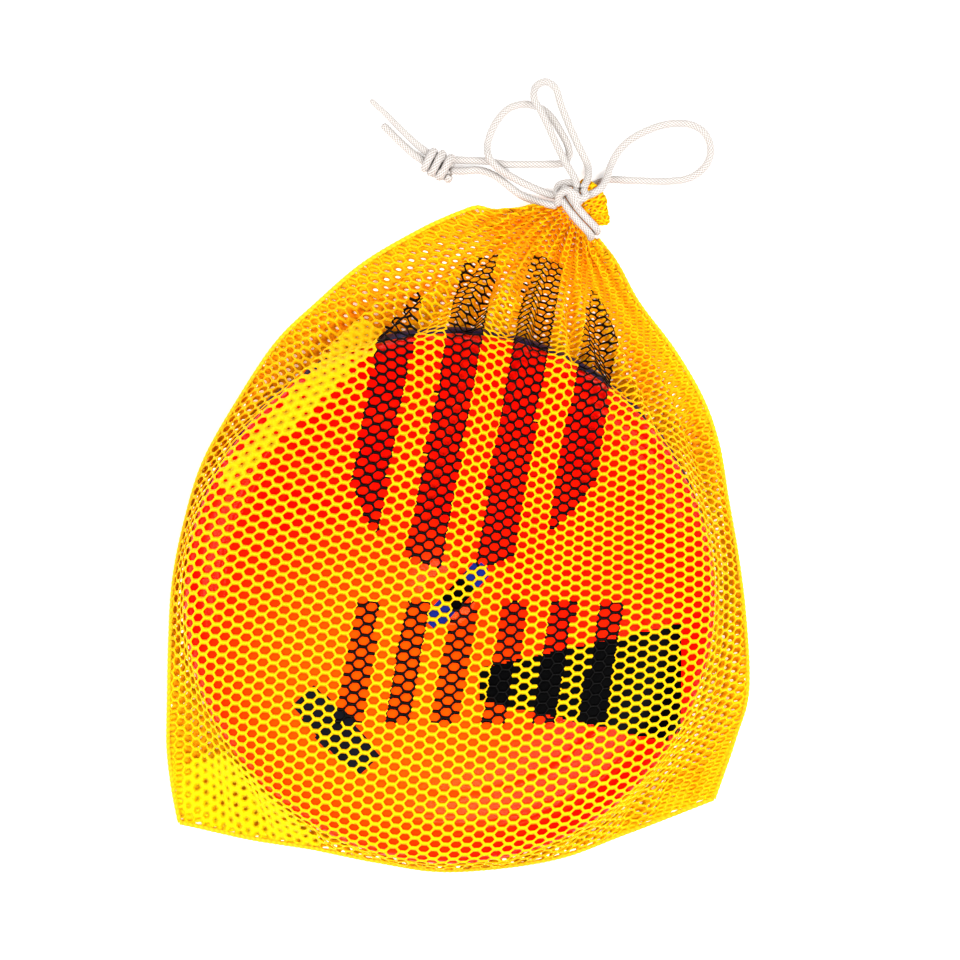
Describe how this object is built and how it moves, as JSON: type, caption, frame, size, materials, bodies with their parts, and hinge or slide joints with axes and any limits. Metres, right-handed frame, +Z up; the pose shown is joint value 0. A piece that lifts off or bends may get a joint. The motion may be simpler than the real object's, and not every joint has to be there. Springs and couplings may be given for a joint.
{
  "type": "drawstring mesh ball bag",
  "caption": "Knitted mesh drawstring bag lying on its back, its neck tied with a braided cord, holding nested flying discs that can shift and spin inside it.",
  "frame": {"origin": "on the surface that the bag lies on, under the middle of the bag without its loose cord", "axes": "+X across the bag to its right side seam, +Y to the tied mouth, +Z up from the surface"},
  "size_m": [0.292, 0.3982, 0.0485],
  "materials": {
    "mesh_cloth": "knitted polyester hexagon mesh",
    "seam_thread": "overlocked polyester thread",
    "cotton_cord": "braided cotton",
    "blue_plastic": "moulded, glossy",
    "red_plastic": "moulded, glossy",
    "black_print": "pad-printed ink",
    "grey_print": "pad-printed ink",
    "blue_print": "pad-printed ink"
  },
  "bodies": {
    "bag": {"front_panel": "mesh_cloth", "back_panel": "mesh_cloth", "left_seam": "seam_thread", "bottom_seam": "seam_thread", "right_seam": "seam_thread", "gathered_neck": "mesh_cloth", "gathered_casing": "mesh_cloth", "casing_stitching": "seam_thread", "neck_wrap": "cotton_cord", "bow_knot": "cotton_cord", "right_loop": "cotton_cord", "top_loop": "cotton_cord", "long_strand": "cotton_cord", "short_strand": "cotton_cord", "stopper_knot": "cotton_cord", "upper_tip": "cotton_cord", "lower_tip": "cotton_cord"},
    "lower_disc": {"blue_disc": "blue_plastic"},
    "upper_disc": {"red_disc": "red_plastic", "red_disc_band": "black_print", "red_disc_patch": "grey_print", "red_disc_tab": "blue_print"}
  },
  "joints": [
    {"name": "contents_shift", "type": "slide", "parent": "bag", "child": "lower_disc", "axis": [1, 0, 0], "range_m": [0, 0.008]},
    {"name": "red_disc_spin", "type": "hinge", "parent": "lower_disc", "child": "upper_disc", "pos_m": [-0.004, -0.037, 0.03], "axis": [0, 0, 1], "continuous": true}
  ]
}
